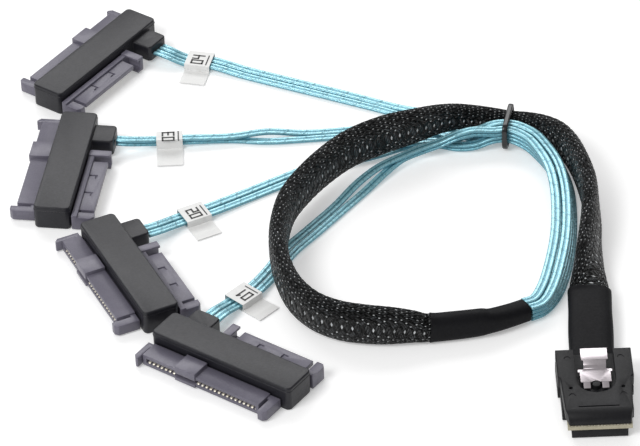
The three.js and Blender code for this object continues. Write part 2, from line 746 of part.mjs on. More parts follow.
// The tie is a band round the trunk and the bundle, square to the trunk's run
function bundleTie() {
  const trunk = sleeveRoute[sleeveTiePoint];
  const bundle = bundleRoute[bundleTiePoint];
  const [sx, sy] = sideAt(sleeveRoute, sleeveTiePoint);
  const apart = (bundle[0] - trunk[0]) * sx + (bundle[1] - trunk[1]) * sy;
  const low = apart - tapePitchSide - clearance;
  const high = trunk[5] / 2 + 2 * clearance;
  const bottom = tieBase + tieWall;
  const top = trunk[2] + trunk[4] / 2 + clearance;
  const shape = boxOutline(
    low - tieWall, high + tieWall, bottom - tieWall, top + tieWall,
    tieCorners.map((radius) => radius + tieWall));
  shape.holes.push(boxOutline(low, high, bottom, top, tieCorners));
  const geometry = new THREE.ExtrudeGeometry(shape, {
    depth: tieWidth - 2 * tieBevel, bevelThickness: tieBevel, bevelSize: tieBevel,
    bevelOffset: -tieBevel, bevelSegments: 1, curveSegments: 5,
  });
  geometry.translate(0, 0, -tieWidth / 2 + tieBevel);
  const side = new THREE.Vector3(sx, sy, 0);
  const up = new THREE.Vector3(0, 0, 1);
  geometry.applyMatrix4(new THREE.Matrix4().makeBasis(side, up, new THREE.Vector3().crossVectors(side, up)));
  geometry.translate(trunk[0], trunk[1], 0);
  return toGeometry(toSolid(geometry));
}

function named(name, geometry, material) {
  const mesh = new THREE.Mesh(geometry, material);
  mesh.name = name;
  return mesh;
}

// Assembly
const cable = new THREE.Group();
cable.position.set(-benchOrigin[0], -benchOrigin[1], 0);

const host = new THREE.Group();
host.position.set(hostPlace[0], hostPlace[1], 0);
host.add(
  named('host_lower_shell', toGeometry(hostLowerShell()), hostBlack),
  named('host_upper_shell', toGeometry(hostUpperShell()), hostBlack),
  named('host_paddle_card', toGeometry(paddleCard()), cardGreen),
  named('host_latch', toGeometry(hostLatch()), latchSteel));
cable.add(host);

const oval = ovalSection(0.2, 5);
const roundOval = ovalSection(0.3, 5);
cable.add(
  named('host_heatshrink', tube(hostShrinkRoute, oval, shrinkSteps), shrinkBlack),
  named('trunk_sleeve', tube(sleeveRoute, oval, sleeveSteps), braidBlack),
  named('split_heatshrink', tube(splitShrinkRoute, roundOval, shrinkSteps), shrinkBlack),
  named('bundle_tie', bundleTie(), tieBlack));

const block = toGeometry(driveBlock());
const receptacle = toGeometry(driveReceptacle());
const powerPlug = toGeometry(drivePowerPlug());
for (const drive of drives) {
  const end = new THREE.Group();
  end.position.set(drive.place[0], drive.place[1], 0);
  end.rotation.z = THREE.MathUtils.degToRad(drive.turn);
  end.add(
    named(`drive_block_${drive.name}`, block, mouldedBlack),
    named(`drive_receptacle_${drive.name}`, receptacle, insulatorGrey),
    named(`drive_power_plug_${drive.name}`, powerPlug, insulatorGrey));
  cable.add(end);
  ['a', 'b'].forEach((letter, which) => {
    const tape = tube(tapeRows(drive, which), tapeSection(), tapeSteps);
    cable.add(named(`tape_${drive.name}${letter}`, tape, tapeBlue));
  });
  cable.add(named(`label_${drive.name}`, flagLabel(drive), labelWhite));
}

const assembly = new THREE.Group();
assembly.add(cable);
export default assembly;
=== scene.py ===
# %% [markdown]
# # A mini SAS breakout cable
# The real object is one flat host plug, a braided trunk, and eight blue flat
# cables that end in four drive connectors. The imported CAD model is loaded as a
# fixed frame, so every new piece can be placed from its measured sizes.
# %% Load the frame
import math
import bmesh
import bpy
from mathutils import Matrix, Quaternion, Vector


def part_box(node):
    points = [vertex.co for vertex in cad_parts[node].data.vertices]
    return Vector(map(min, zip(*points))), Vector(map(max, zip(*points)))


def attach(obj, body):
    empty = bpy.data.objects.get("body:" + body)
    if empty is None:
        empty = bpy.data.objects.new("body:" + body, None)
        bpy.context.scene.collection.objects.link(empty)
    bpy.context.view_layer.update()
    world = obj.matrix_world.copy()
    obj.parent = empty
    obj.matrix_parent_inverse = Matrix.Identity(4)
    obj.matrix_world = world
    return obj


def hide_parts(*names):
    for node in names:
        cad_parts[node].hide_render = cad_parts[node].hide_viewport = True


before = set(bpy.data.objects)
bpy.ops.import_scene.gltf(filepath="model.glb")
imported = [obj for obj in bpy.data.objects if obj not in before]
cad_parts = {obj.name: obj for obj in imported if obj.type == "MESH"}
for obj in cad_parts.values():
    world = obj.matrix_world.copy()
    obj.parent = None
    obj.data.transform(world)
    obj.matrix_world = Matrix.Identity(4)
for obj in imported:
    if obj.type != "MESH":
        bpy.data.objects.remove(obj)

MM = 0.001
BENCH = Vector((-2.53, 2.71, 0.0))
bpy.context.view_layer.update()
scene = bpy.context.scene


def at(x, y, z):
    return (Vector((x, y, z)) - BENCH) * MM


# %% [markdown]
# ## Camera
# A product photo like this is taken with a long lens from well above the bench.
# The numbers were fitted to known corners of the four drive connectors, and a
# small roll about the view axis finishes the fit.
# %% Camera
REACH = 1171.5
TILT = math.radians(37.76)
ROLL = math.radians(-2.27)
camera = bpy.data.objects.new("camera", bpy.data.cameras.new("camera"))
scene.collection.objects.link(camera)
camera.location = at(0, -REACH * math.cos(TILT), REACH * math.sin(TILT))
towards = at(0, 0, 0) - camera.location
camera.rotation_mode = "QUATERNION"
level = towards.to_track_quat("-Z", "Y")
camera.rotation_quaternion = level @ Quaternion((0, 0, 1), ROLL)
camera.data.lens = 253.1
camera.data.sensor_width = 36.0
camera.data.clip_end = 20.0
scene.camera = camera
scene.view_settings.view_transform = "Standard"
print("camera at", tuple(round(v, 3) for v in camera.location))

# %% [markdown]
# ## Routes of the cords
# Each cord is a smooth curve through points found along it in the photograph.
# A centripetal curve is used because it never loops at uneven points. Every point
# also carries how far the flat section leans, its width and its thickness.
# %% Route points in bench millimetres
HOST_SHRINK = [
    (66.4, -65.3, 2.5, 0, 11.2, 3.6), (66.4, -61.6, 2.5, 0, 11.4, 4.1),
    (66.9, -50.0, 2.8, 0, 11.4, 4.8), (67.5, -38.5, 2.9, 0, 11.2, 4.9),
]
SLEEVE = [
    (67.5, -38.0, 2.9, 0, 10.8, 4.8), (67.6, -35.4, 3.1, 12, 10.4, 4.8), (67.9, -32.2, 3.9, 32, 9.9, 4.8),
    (68.3, -27.6, 4.7, 52, 9.8, 4.7), (69.2, -17.6, 5.5, 72, 10.6, 4.6), (70.1, -8.4, 5.9, 80, 11.4, 4.6),
    (70.1, 1.8, 6.1, 90, 11.8, 4.6), (68.8, 11.4, 6.0, 90, 11.4, 4.6), (66.8, 19.5, 5.7, 90, 10.8, 4.6),
    (64.0, 26.1, 5.3, 88, 9.8, 4.6), (60.6, 30.8, 4.9, 84, 8.0, 4.4), (56.4, 34.0, 4.4, 84, 6.6, 4.2),
    (51.5, 35.7, 4.2, 84, 6.0, 4.1), (46.4, 36.2, 4.9, 84, 6.4, 4.2), (41.8, 35.8, 5.9, 86, 6.8, 4.3),
    (38.0, 34.9, 6.8, 88, 7.4, 4.4), (32.6, 32.0, 8.4, 90, 8.6, 4.6), (26.1, 28.4, 9.3, 90, 10.4, 4.8),
    (18.1, 25.0, 9.4, 90, 11.6, 5.0), (8.6, 19.8, 9.0, 90, 11.8, 5.0), (1.9, 13.5, 8.6, 90, 11.8, 5.0),
    (-3.6, 6.0, 8.4, 90, 11.8, 5.0), (-8.2, -2.6, 8.1, 90, 11.8, 5.0), (-10.3, -11.2, 7.8, 90, 11.8, 5.0),
    (-10.9, -19.6, 7.6, 90, 11.8, 5.0), (-9.8, -28.8, 7.0, 90, 11.8, 5.0), (-6.8, -37.4, 6.3, 90, 11.8, 5.0),
    (-1.9, -44.2, 6.1, 90, 11.8, 5.0), (4.0, -48.1, 6.1, 90, 11.8, 5.0), (10.3, -49.9, 6.1, 90, 11.6, 5.0),
    (16.3, -50.5, 5.8, 90, 11.0, 5.0), (21.6, -50.3, 5.0, 90, 9.4, 4.9), (25.0, -50.05, 4.2, 90, 8.0, 4.8),
    (27.6, -49.8, 4.05, 90, 7.7, 4.8),
]
SPLIT_SHRINK = [
    (28.05, -49.75, 4.03, 90, 7.9, 5.0), (34.1, -49.2, 3.95, 90, 7.8, 5.0), (39.6, -48.2, 3.9, 90, 7.4, 5.0),
    (41.6, -47.8, 3.8, 90, 6.4, 5.0), (46.4, -45.6, 3.3, 90, 5.7, 5.4), (50.9, -43.1, 3.0, 90, 5.2, 5.8),
]
BUNDLE = [
    (51.26, -42.9, 2.95, 0), (54.2, -41.1, 2.7, 0), (57.2, -36.0, 2.5, 0.3), (60.0, -27.0, 2.5, 0.5),
    (62.4, -14.4, 2.5, 0.5), (63.5, -1.8, 2.5, 0.5), (63.5, 8.4, 2.6, 0.5), (62.3, 16.4, 2.8, 0.4),
    (59.8, 22.4, 3.3, 0.2), (56.4, 27.4, 4.0, 0), (51.3, 30.6, 4.5, 0), (46.8, 30.8, 4.3, 0),
]
DRIVES = [
    dict(name="1", place=(-23.5, -59.08), turn=-36.57, column=-1, rows=(2, 3), span=11, route=[
        (41.5, 29.1, 6.0, 90), (37.2, 28.4, 5.4, 90), (32.2, 27.8, 3.5, 90), (27.2, 26.4, 2.6, 90),
        (22.3, 23.8, 2.3, 90), (17.0, 19.6, 1.8, 60), (11.6, 13.6, 1.2, 45), (5.4, 5.6, 0.6, 0),
        (-2.2, -4.3, 0.6, 0), (-8.2, -12.0, 0.6, 0), (-13.4, -21.4, 0.6, 0), (-17.65, -28.25, 1.15, 0),
        (-22.75, -33.35, 1.15, 0)]),
    dict(name="2", place=(-49.31, -22.02), turn=-66.26, column=-1, rows=(0, 1), span=10, route=[
        (41.5, 28.9, 1.6, 90), (37.0, 29.3, 1.2, 90), (33.6, 30.5, 1.2, 90), (29.4, 31.4, 1.2, 90),
        (23.4, 30.6, 1.2, 90), (15.3, 28.7, 1.2, 45), (7.3, 26.0, 0.6, 0), (-2.1, 21.9, 0.6, 0),
        (-9.0, 18.0, 0.6, 0), (-19.4, 11.9, 0.6, 0), (-29.4, 5.6, 1.15, 0), (-35.9, 2.5, 1.15, 0)]),
    dict(name="3", place=(-66.25, 23.02), turn=-99.34, column=1, rows=(2, 3), span=10, route=[
        (43.4, 31.9, 4.3, 90), (40.4, 31.4, 3.6, 90), (37.0, 32.2, 2.0, 90), (34.2, 33.8, 1.3, 90),
        (29.0, 36.2, 1.2, 90), (19.0, 37.7, 1.2, 45), (9.0, 37.9, 0.6, 0), (-3.0, 37.3, 0.6, 0),
        (-13.0, 37.0, 1.2, 45), (-23.0, 36.9, 1.2, 90), (-35.7, 36.3, 1.75, 90), (-42.7, 36.2, 1.75, 90)]),
    dict(name="4", place=(-59.42, 71.64), turn=-126.91, column=1, rows=(0, 1), span=9, route=[
        (43.4, 32.1, 1.8, 90), (41.2, 33.0, 1.2, 90), (38.9, 35.1, 1.2, 90), (34.5, 38.9, 1.2, 90),
        (28.6, 42.8, 1.2, 45), (21.3, 47.4, 0.6, 0), (6.7, 54.8, 0.6, 0), (-8.5, 62.2, 0.6, 0),
        (-18.8, 67.3, 0.6, 0), (-27.7, 71.6, 1.15, 0), (-34.5, 73.3, 1.15, 0)]),
]
print("drive ends", len(DRIVES))


# %% Smooth sampling of a route
def smooth(points, per_span):
    """Samples of (position in mm, lean, width, thickness) on a centripetal curve."""
    spots = [Vector(p[:3]) for p in points]
    shapes = [Vector(p[3:6]) for p in points]
    spots = [2 * spots[0] - spots[1], *spots, 2 * spots[-1] - spots[-2]]
    shapes = [2 * shapes[0] - shapes[1], *shapes, 2 * shapes[-1] - shapes[-2]]
    samples = []
    for i in range(1, len(spots) - 2):
        quad = spots[i - 1:i + 3]
        gaps = [max((quad[k + 1] - quad[k]).length ** 0.5, 1e-4) for k in range(3)]
        count = per_span + (1 if i == len(spots) - 3 else 0)
        for k in range(count):
            t = k / per_span
            shape = blend_four(shapes[i - 1:i + 3], [1, 1, 1], t)
            samples.append((blend_four(quad, gaps, t), shape))
    return samples


def blend_four(quad, gaps, t):
    a, b, c, d = quad
    start = ((b - a) / gaps[0] - (c - a) / (gaps[0] + gaps[1]) + (c - b) / gaps[1]) * gaps[1]
    end = ((c - b) / gaps[1] - (d - b) / (gaps[1] + gaps[2]) + (d - c) / gaps[2]) * gaps[1]
    square = 3 * (c - b) - 2 * start - end
    cube = 2 * (b - c) + start + end
    return b + start * t + square * t ** 2 + cube * t ** 3


def route_length(samples):
    return sum((samples[i + 1][0] - samples[i][0]).length for i in range(len(samples) - 1))


sleeve_line = smooth(SLEEVE, 18)
print("trunk sleeve is", round(route_length(sleeve_line), 1), "mm long")

# %% [markdown]
# ## A tube that follows a route
# A cord is a row of rings joined by faces. Each ring stands square to the route,
# and its section can be any closed outline, so the same helper makes the flat
# braid, the shrink tubes and the twin ridged cables. A UV map that counts
# millimetres along the cord lets the weave and the foil follow it.
# %% Tube helper
def tube(name, samples, outline):
    """A closed mesh tube; outline(u, s) gives (across, up) for one point of a ring."""
    centre = [s[0] for s in samples]
    rings = len(samples)
    mesh = bmesh.new()
    layer = mesh.loops.layers.uv.new("lay")
    travelled = 0.0
    rows, stations = [], []
    for i, (spot, (lean, width, thickness)) in enumerate(samples):
        run = (centre[min(i + 1, rings - 1)] - centre[max(i - 1, 0)]).normalized()
        side = run.cross(Vector((0, 0, 1))).normalized()
        wide = side * math.cos(math.radians(lean)) + run.cross(side) * math.sin(math.radians(lean))
        thin = run.cross(wide)
        if i:
            travelled += (centre[i] - centre[i - 1]).length
        stations.append(travelled)
        ring = []
        for across, up in outline(width, thickness, travelled):
            ring.append(mesh.verts.new(at(*(spot + wide * across + thin * up))))
        rows.append(ring)
    around = len(rows[0])
    for i in range(rings - 1):
        for k in range(around):
            n = (k + 1) % around
            face = mesh.faces.new((rows[i][k], rows[i][n], rows[i + 1][n], rows[i + 1][k]))
            face.smooth = True
            here, there = stations[i], stations[i + 1]
            marks = ((here, k), (here, k + 1), (there, k + 1), (there, k))
            for loop, (along, turn) in zip(face.loops, marks):
                loop[layer].uv = (along, turn / around)
    mesh.faces.new(rows[0])
    mesh.faces.new(list(reversed(rows[-1])))
    bmesh.ops.recalc_face_normals(mesh, faces=mesh.faces)
    data = bpy.data.meshes.new(name)
    mesh.to_mesh(data)
    mesh.free()
    piece = bpy.data.objects.new(name, data)
    scene.collection.objects.link(piece)
    return piece


BANDS = 16
BAND_PITCH = 2.5


def weave_dip(turn, along):
    """How far, from 0 to 1, the woven surface dips below its highest crossings."""
    first, second = turn * BANDS + along / BAND_PITCH, turn * BANDS - along / BAND_PITCH
    first_on_top = (math.floor(first) + math.floor(second)) % 2 == 1
    return 1.0 - math.sin(math.pi * ((second if first_on_top else first) % 1.0))


def oval(count, lumps=0.0, pitch=6.0, woven=0.0):
    """A flat oval with soft lumps along it, from the cables inside."""
    def outline(width, thickness, along):
        points = []
        for k in range(count):
            angle = 2 * math.pi * k / count
            dip = 2 * woven * weave_dip(k / count, along) if woven else 0.0
            round_off = 1.0 - lumps * (0.5 + 0.5 * math.sin(along / pitch + 3.0 * math.sin(angle)))
            across = math.copysign(abs(math.cos(angle)) ** 0.62, math.cos(angle))
            up = math.copysign(abs(math.sin(angle)) ** 0.8, math.sin(angle))
            half_width, half_height = (width - dip) / 2 * round_off, (thickness - dip) / 2 * round_off
            points.append((across * half_width, up * half_height))
        return points
    return outline


def twin(count=28):
    """Two cores side by side under one film, with a valley between them."""
    def outline(width, thickness, along):
        points = []
        for k in range(count):
            angle = 2 * math.pi * k / count
            across = math.cos(angle)
            core = max(0.0, 1.0 - ((abs(across) - 0.5) / 0.52) ** 2) ** 0.5
            height = max(core, 0.42 if abs(across) < 0.9 else 0.0)
            points.append((across * width / 2, math.copysign(height, math.sin(angle)) * thickness / 2))
        return points
    return outline


def place(piece, *nodes, slot, body="cable"):
    """Attach the piece to its body and hide the CAD nodes it stands for. The slot argument is not used."""
    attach(piece, body)
    if nodes:
        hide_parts(*nodes)
    return piece


# %% Trunk sleeve and the two shrink tubes
# The weave stands 0.22 mm high, and the braid's outline is modelled into its mesh.
sleeve = tube("braided_sleeve", sleeve_line, oval(96, 0.02, 5.0, 0.22))
place(sleeve, "trunk_sleeve", slot="braid_black")
# Each shrink tube grips the end of the braid, so its mouth is wider and laps over it.
host_line = smooth(HOST_SHRINK + [(67.55, -36.9, 3.0, 5, 11.2, 5.2)], 16)
host_shrink = tube("host_shrink_tube", host_line, oval(56, 0.02, 2.6))
place(host_shrink, "host_heatshrink", slot="heatshrink_black")
split_line = smooth([(26.5, -49.88, 4.12, 90, 8.15, 5.4)] + SPLIT_SHRINK, 12)
split_shrink = tube("split_shrink_tube", split_line, oval(56, 0.03, 2.2))
place(split_shrink, "split_heatshrink", slot="heatshrink_black")
print("shrink tubes", round(route_length(host_line), 1), round(route_length(split_line), 1))


# %% [markdown]
# ## The eight flat blue cables
# Each cable holds two signal wires and a foil under clear blue film, so it shows
# two rounded ridges. In pairs they leave the split, run back to the tie in a
# stack, and then turn to lie side by side at each drive connector.
# %% Flat cable routes
def side_at(points, index):
    before, after = points[max(index - 1, 0)], points[min(index + 1, len(points) - 1)]
    run = Vector((after[0] - before[0], after[1] - before[1])).normalized()
    return Vector((run.y, -run.x, 0))


def boot_exit(drive):
    turn = math.radians(drive["turn"])
    along = Vector((math.cos(turn), math.sin(turn), 0))
    out = Vector((-math.sin(turn), math.cos(turn), 0))
    start = Vector((*drive["place"], 2.9)) - along * 14.445
    return [start + out * (10.55 + d) for d in (3.5, 0.3)]


def flat_cable_points(drive, which):
    points = []
    for i, (x, y, z, step) in enumerate(BUNDLE):
        row = drive["rows"][which] - 1.5
        aside = drive["column"] * 1.4 - row * step
        spot = Vector((x, y, z + row * 1.15)) + side_at(BUNDLE, i) * aside
        points.append((*spot, 0, 2.5, 0.9))
    last = drive["route"][-1][3]
    branch = drive["route"] + [(*spot, last) for spot in boot_exit(drive)]
    for i, (x, y, z, angle) in enumerate(branch):
        half = which - 0.5
        aside = half * 2.8 * min((90 - angle) / 45, 1)
        spot = Vector((x, y, z + half * 1.15 * min(angle / 45, 1))) + side_at(branch, i) * aside
        points.append((*spot, 0, 2.5, 0.9))
    return points


flat_cables = []
for drive in DRIVES:
    for which, letter in enumerate("ab"):
        line = smooth(flat_cable_points(drive, which), 7)
        cable = tube("flat_cable_" + drive["name"] + letter, line, twin())
        place(cable, "tape_" + drive["name"] + letter, slot="tape_blue")
        flat_cables.append((drive, letter, cable, line))
        print(cable.name, round(route_length(line), 1), "mm,", len(cable.data.polygons), "faces")


# %% [markdown]
# ## Hand modelling helpers
# Small parts start from a cube of the right size and are then shaped in edit
# mode. Faces are picked in code by where they are, because there is no window
# to click in. Everything is deselected first, since the frame comes in selected.
# %% Edit mode helpers
def start_block(name, low, high):
    """A cube given real size, in millimetres of its own frame, left in edit mode."""
    bpy.ops.object.select_all(action="DESELECT")
    bpy.ops.mesh.primitive_cube_add(size=1.0)
    block = bpy.context.object
    block.name = name
    block.data.name = name
    bpy.ops.object.mode_set(mode="EDIT")
    bpy.ops.mesh.select_mode(type="FACE")
    span = [high[i] - low[i] for i in range(3)]
    middle = [(high[i] + low[i]) / 2 for i in range(3)]
    bpy.ops.transform.resize(value=span, center_override=(0, 0, 0))
    bpy.ops.transform.translate(value=middle)
    return block


def pick_faces(block, test):
    mesh = bmesh.from_edit_mesh(block.data)
    for face in mesh.faces:
        face.select_set(False)
    for face in mesh.faces:
        if test(face.calc_center_median(), face.normal):
            face.select_set(True)
    mesh.select_flush_mode()
    bmesh.update_edit_mesh(block.data)


def round_edges(block, width, segments=2, angle=30):
    """Leave edit mode and finish the part with a Bevel modifier, applied."""
    if block.mode == "EDIT":
        bpy.ops.object.mode_set(mode="OBJECT")
    bpy.ops.object.select_all(action="DESELECT")
    block.select_set(True)
    bpy.context.view_layer.objects.active = block
    bevel = block.modifiers.new("rounded", "BEVEL")
    bevel.width = width
    bevel.segments = segments
    bevel.limit_method = "ANGLE"
    bevel.angle_limit = math.radians(angle)
    bpy.ops.object.modifier_apply(modifier=bevel.name)
    bpy.ops.object.shade_smooth_by_angle(angle=math.radians(35))
    return block


def repeat(block, offsets, name):
    """Copies of one small part, moved by offsets and kept as one mesh."""
    mesh = bmesh.new()
    for offset in offsets:
        first = len(mesh.verts)
        mesh.from_mesh(block.data)
        mesh.verts.ensure_lookup_table()
        bmesh.ops.translate(mesh, verts=mesh.verts[first:], vec=offset)
    data = bpy.data.meshes.new(name)
    mesh.to_mesh(data)
    mesh.free()
    bpy.data.objects.remove(block)
    return data


def put(data, name, matrix):
    """A piece at the origin whose mesh is the pattern moved to its place."""
    own = data.copy()
    own.name = name
    own.transform(matrix)
    piece = bpy.data.objects.new(name, own)
    scene.collection.objects.link(piece)
    return piece


def drive_matrix(drive):
    spot = at(*drive["place"], 0)
    return Matrix.Translation(spot) @ Matrix.Rotation(math.radians(drive["turn"]), 4, "Z")


TO_MM = Matrix.Scale(MM, 4)
print("helpers ready")


# %% [markdown]
# ## Softened edges on the moulded parts
# A moulded edge is never knife sharp: it catches a thin line of light. Each
# moulded CAD part is copied, its loose triangles are merged into flat faces,
# and a narrow Bevel modifier rounds its edges.
# %% Softened copies of the CAD parts
def softened(node, width, back=None):
    """Mesh of a CAD node, merged and bevelled, moved back by a matrix first."""
    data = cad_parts[node].data.copy()
    if back is not None:
        data.transform(back)
    block = bpy.data.objects.new("soft_" + node, data)
    scene.collection.objects.link(block)
    bpy.ops.object.select_all(action="DESELECT")
    block.select_set(True)
    bpy.context.view_layer.objects.active = block
    bpy.ops.object.mode_set(mode="EDIT")
    bpy.ops.mesh.select_all(action="SELECT")
    bpy.ops.mesh.remove_doubles(threshold=2e-6)
    bpy.ops.mesh.dissolve_limited(angle_limit=math.radians(1.0))
    round_edges(block, width * MM)
    data = block.data
    bpy.data.objects.remove(block)
    return data


home = drive_matrix(DRIVES[0]).inverted()
patterns = {
    "drive_block": softened("drive_block_1", 0.16, home),
    "drive_receptacle": softened("drive_receptacle_1", 0.07, home),
    "drive_power_plug": softened("drive_power_plug_1", 0.07, home),
}
slots = {
    "drive_block": "moulded_black",
    "drive_receptacle": "insulator_grey",
    "drive_power_plug": "insulator_grey",
}
drive_pieces = {key: [] for key in patterns}
for key, data in patterns.items():
    for drive in DRIVES:
        piece = put(data, key + "_moulding_" + drive["name"], drive_matrix(drive))
        place(piece, key + "_" + drive["name"], slot=slots[key])
        drive_pieces[key].append(piece)
    print(key, len(data.polygons), "faces each")

still = Matrix.Identity(4)
upper = put(softened("host_upper_shell", 0.12), "host_upper_moulding", still)
lower = put(softened("host_lower_shell", 0.12), "host_lower_moulding", still)
latch = put(softened("host_latch", 0.05), "host_latch_spring", still)
place(upper, "host_upper_shell", slot="host_black")
place(lower, "host_lower_shell", slot="host_black")
place(latch, "host_latch", slot="latch_steel", body="latch")
# The tie is one smooth loop, so its copy is remeshed, melted round and narrowed.
ring = put(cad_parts["bundle_tie"].data, "bundle_tie_ring", still)
tie_run = Vector((-10.0, 2.2, 0)).normalized()
low, high = (Vector(corner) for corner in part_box("bundle_tie"))
bpy.ops.object.select_all(action="DESELECT")
ring.select_set(True)
bpy.context.view_layer.objects.active = ring
remesh = ring.modifiers.new("one_skin", "REMESH")
remesh.mode = "VOXEL"
remesh.voxel_size = 0.18 * MM
bpy.ops.object.modifier_apply(modifier=remesh.name)
melt = ring.modifiers.new("rounded", "SMOOTH")
melt.factor = 0.6
melt.iterations = 14
bpy.ops.object.modifier_apply(modifier=melt.name)
bpy.ops.object.shade_smooth()
to_ring = Matrix.Translation((low + high) / 2)
ring.data.transform(to_ring @ Matrix.Scale(0.7, 4, tie_run) @ to_ring.inverted())
place(ring, "bundle_tie", slot="tie_black")
print("tie ring", len(ring.data.polygons), "faces")
print("host shells", len(upper.data.polygons), len(lower.data.polygons), "faces")


# %% [markdown]
# ## Mould marks
# The two halves of a mould leave a fine line round the block, and the host shell
# carries small raised half rings beside its latch. The line is a thin plate a
# hair wider than the block, so only its rim shows. A half ring is a torus that
# a bisect cuts through the middle, with the cut filled.
# %% Parting lines and half rings
rim = start_block("rim", (-21.34, -4.94, 5.55), (21.34, 4.94, 5.8))
bpy.ops.mesh.select_mode(type="EDGE")
rim_mesh = bmesh.from_edit_mesh(rim.data)
for line in rim_mesh.edges:
    a, b = line.verts
    line.select_set(abs(a.co.z - b.co.z) > 0.05)
bmesh.update_edit_mesh(rim.data)
bpy.ops.mesh.bevel(offset=1.3, segments=6)
round_edges(rim, 0.05, 1, 60)
rims = []
for drive in DRIVES:
    parting = put(rim.data, "parting_line_" + drive["name"], drive_matrix(drive) @ TO_MM)
    rims.append(place(parting, slot="moulded_black"))
bpy.data.objects.remove(rim)

host_frame = Matrix.Translation(at(66.4, -64.0, 0)) @ Matrix.Rotation(math.pi, 4, "Z") @ TO_MM
half_rings = []
for number, (s, q) in enumerate(((-6.6, 3.6), (6.6, 3.6), (-6.3, 17.9), (6.3, 17.9))):
    bpy.ops.object.select_all(action="DESELECT")
    bpy.ops.mesh.primitive_torus_add(
        major_radius=0.75, minor_radius=0.14, major_segments=28, minor_segments=8)
    half_ring = bpy.context.object
    bpy.ops.object.mode_set(mode="EDIT")
    bpy.ops.mesh.select_all(action="SELECT")
    bpy.ops.mesh.bisect(
        plane_co=(0, 0, 0), plane_no=(0, 1, 0), use_fill=True, clear_outer=True)
    bpy.ops.object.mode_set(mode="OBJECT")
    half_ring.data.transform(Matrix.Translation((s, q, 6.88)))
    mark = put(half_ring.data, "half_ring_" + str(number + 1), host_frame)
    half_rings.append(place(mark, slot="host_black"))
    bpy.data.objects.remove(half_ring)
print("parting lines", len(rims), "half rings", len(half_rings))


# %% [markdown]
# ## Contacts and blades
# Each drive socket has 29 stamped contacts in three groups, and its power plug
# has 15 flat blades. One contact is shaped from a block: its nose face is
# pushed down so that a drive's edge can ride over it, and then it is copied
# at the standard 1.27 mm and 0.8 mm pitches.
# %% One contact and its copies
def contact(name, width, low, high, nose):
    block = start_block(name, (-width / 2, low[0], low[1]), (width / 2, high[0], high[1]))
    pick_faces(block, lambda c, n: n.y < -0.5)
    bpy.ops.mesh.extrude_region_move(TRANSFORM_OT_translate={"value": (0, -0.45, -nose)})
    bpy.ops.transform.resize(value=(0.8, 1, 0.7), center_override=(0, low[0], low[1]))
    return round_edges(block, 0.05, 1)


def groups(count, middle, pitch):
    return [(middle + (i - (count - 1) / 2) * pitch, 0, 0) for i in range(count)]


wide_row = groups(7, -14.35, 1.27) + groups(15, 5.87, 1.27)
signal = contact("contact", 0.72, (-9.62, 1.32), (-6.66, 1.72), 0.12)
contacts = repeat(signal, wide_row, "contacts")
key_row = groups(7, -6.605, 0.8)
key = contact("key_contact", 0.46, (-9.9, 2.24), (-6.66, 2.58), -0.1)
key_contacts = repeat(key, key_row, "key_contacts")
blade = contact("blade", 0.78, (6.9, 2.42), (9.75, 2.74), 0.0)
blades = repeat(blade, groups(15, 7.145, 1.27), "blades")
metal_pieces = []
for drive in DRIVES:
    for data in (contacts, key_contacts, blades):
        piece = put(data, "drive_" + data.name + "_" + drive["name"], drive_matrix(drive) @ TO_MM)
        metal_pieces.append(place(piece, slot="card"))
print("metal pieces", len(metal_pieces))

# %% [markdown]
# ## Gold pads of the paddle card
# The small printed board between the host shells carries gold pads to its front
# edge. One pad is a thin plate with a rounded end.
# %% Paddle card pads
pad = start_block("pad", (-0.26, 23.4, 3.83), (0.26, 26.1, 3.89))
pick_faces(pad, lambda c, n: n.y < -0.5)
bpy.ops.mesh.extrude_region_move(TRANSFORM_OT_translate={"value": (0, -0.2, 0)})
bpy.ops.transform.resize(value=(0.5, 1, 1), center_override=(0, 23.2, 3.86))
pads = repeat(round_edges(pad, 0.015, 1), groups(18, 0.0, 0.8), "card_pads")
card_pads = place(put(pads, "card_pads", host_frame), slot="card")
print("pads", len(card_pads.data.polygons), "faces")


# %% [markdown]
# ## Flag labels
# A white paper flag is folded round each pair of cables and its ends are stuck
# together. The band starts as a block whose two ends are deleted, and Solidify
# gives the paper its thickness. The flag is a thin subdivided sheet whose far end
# lifts a little off the bench. Its place for a name holds a plain number made
# from simple strokes, with a bar under it.
# %% Label papers and numbers
STROKES = {
    "0": [(0, 0, 0, 2), (1, 0, 1, 2), (0, 0, 1, 0), (0, 2, 1, 2)],
    "1": [(0.5, 0, 0.5, 2), (0.15, 1.6, 0.5, 2)],
    "2": [(0, 2, 1, 2), (1, 1, 1, 2), (0, 1, 1, 1), (0, 0, 0, 1), (0, 0, 1, 0)],
    "3": [(0, 2, 1, 2), (1, 0, 1, 2), (0.25, 1, 1, 1), (0, 0, 1, 0)],
    "4": [(0, 1, 0, 2), (1, 0, 1, 2), (0, 1, 1, 1)],
}


def stroke(mesh, a, b, thick):
    """A flat bar from a to b in millimetres, with square ends past both."""
    a, b = Vector((*a, 0)), Vector((*b, 0))
    run = (b - a).normalized()
    side = Vector((-run.y, run.x, 0)) * thick / 2
    a, b = a - run * thick / 2, b + run * thick / 2
    corners = [a - side, b - side, b + side, a + side]
    low = [mesh.verts.new(c) for c in corners]
    high = [mesh.verts.new(c + Vector((0, 0, 0.05))) for c in corners]
    mesh.faces.new(high)
    mesh.faces.new(list(reversed(low)))
    for k in range(4):
        n = (k + 1) % 4
        mesh.faces.new((low[k], low[n], high[n], high[k]))


